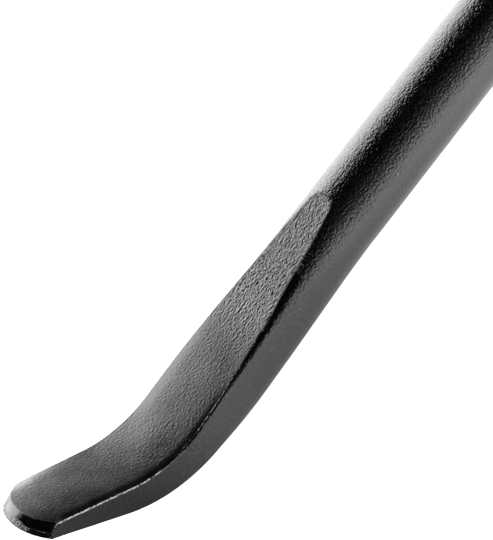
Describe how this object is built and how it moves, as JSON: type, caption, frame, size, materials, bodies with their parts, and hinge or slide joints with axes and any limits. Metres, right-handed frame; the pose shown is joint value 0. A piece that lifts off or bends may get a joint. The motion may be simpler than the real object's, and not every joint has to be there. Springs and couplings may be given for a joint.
{
  "type": "pry bar",
  "caption": "Striking pry bar: a forged round steel bar ending in a bent flat blade, with a through-tang handle and a pinned steel strike cap.",
  "frame": {"origin": "centre of the strike cap's flat struck face, on the bar's axis", "axes": "+X along the bar's axis to the blade, +Z the way the blade's working face looks (the tip bends up to +Z), Y across the blade"},
  "size_m": [0.6154, 0.037, 0.0389],
  "materials": {
    "black_forged_steel": "satin black over a forged surface, fine orange peel, worn at the blade's edges",
    "zinc_steel": "zinc plated, satin",
    "hard_plastic": "fine spark-eroded texture",
    "soft_grip": "matte, soft, grooved",
    "cap_steel": "turned and hardened, struck face lightly marked"
  },
  "bodies": {
    "root": {"pry_bar": "black_forged_steel", "thrust_washer": "zinc_steel", "front_ferrule": "zinc_steel", "handle_core": "hard_plastic", "grip_sleeve": "soft_grip", "strike_cap": "cap_steel", "cap_pin": "zinc_steel"}
  },
  "joints": []
}
